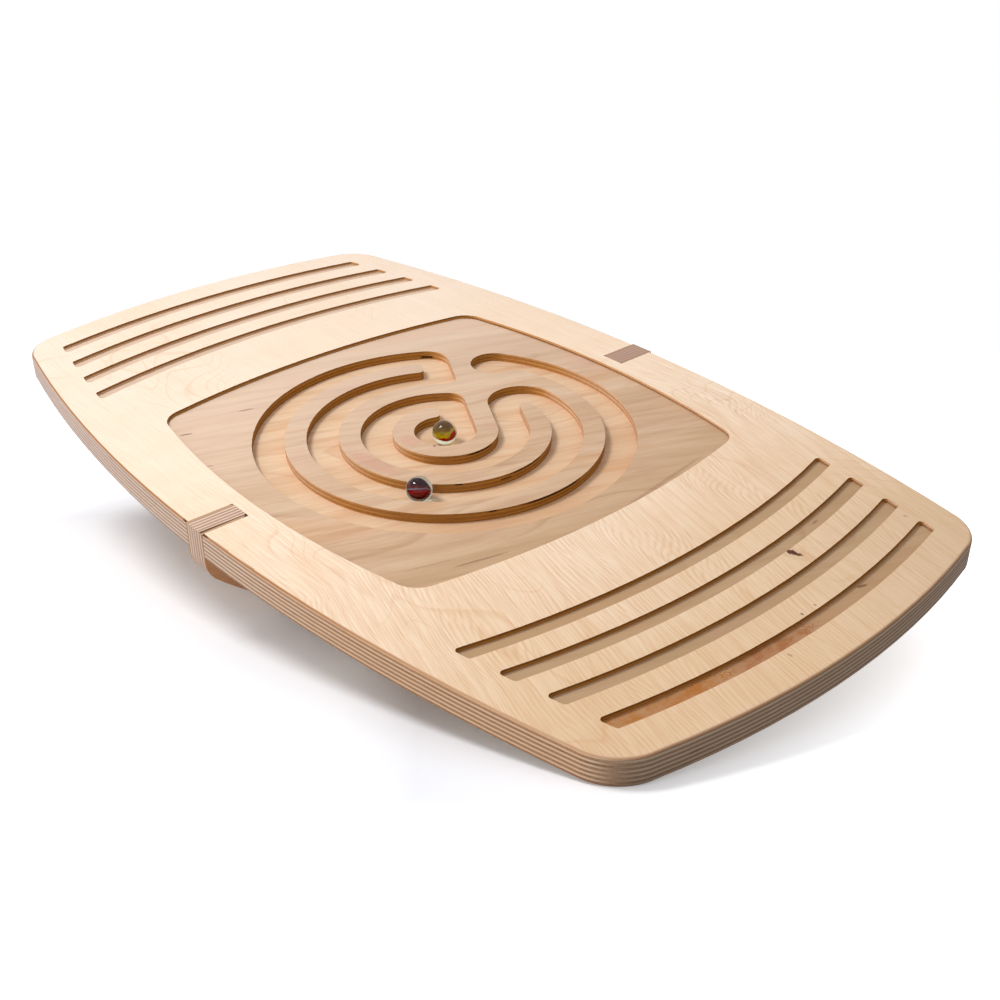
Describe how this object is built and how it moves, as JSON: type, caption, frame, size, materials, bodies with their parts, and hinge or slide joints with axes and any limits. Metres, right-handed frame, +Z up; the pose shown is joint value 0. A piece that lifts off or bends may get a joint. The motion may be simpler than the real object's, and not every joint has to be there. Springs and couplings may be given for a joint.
{
  "type": "marble labyrinth balance board",
  "caption": "Bowed plywood balance board on a curved cross rib, with grip slots near its ends and a milled marble labyrinth sunk in the middle.",
  "frame": {"origin": "on the floor under the middle of the rocker rib, with the deck level", "axes": "+X along the board towards the end that is nearer in the picture, +Y across the board, +Z up through the deck's upper face"},
  "size_m": [0.6498, 0.38, 0.1156],
  "materials": {
    "face_veneer": "clear satin varnish on birch face veneer",
    "cross_veneer": "clear satin varnish on milled birch",
    "base_veneer": "clear satin varnish on milled birch",
    "rib_plywood": "clear satin varnish on birch plywood",
    "track_marble_glass": "clear glass",
    "track_marble_vane": "coloured glass",
    "goal_marble_glass": "clear glass",
    "goal_marble_vane": "coloured glass"
  },
  "bodies": {
    "board": {"face_plies": "face_veneer", "labyrinth_plies": "cross_veneer", "base_plies": "base_veneer", "rocker_rib": "rib_plywood"},
    "track_marble": {"track_marble_glass": "track_marble_glass", "track_marble_vane": "track_marble_vane"},
    "goal_marble": {"goal_marble_glass": "goal_marble_glass", "goal_marble_vane": "goal_marble_vane"}
  },
  "joints": [
    {"name": "track_marble_roll", "type": "hinge", "parent": "board", "child": "track_marble", "pos_m": [0, 0, 0.0989], "axis": [0, 0, 1], "range_deg": [-167, 144]},
    {"name": "goal_marble_roll", "type": "hinge", "parent": "board", "child": "goal_marble", "pos_m": [0, 0, 0.0989], "axis": [0, 0, 1], "continuous": true}
  ]
}
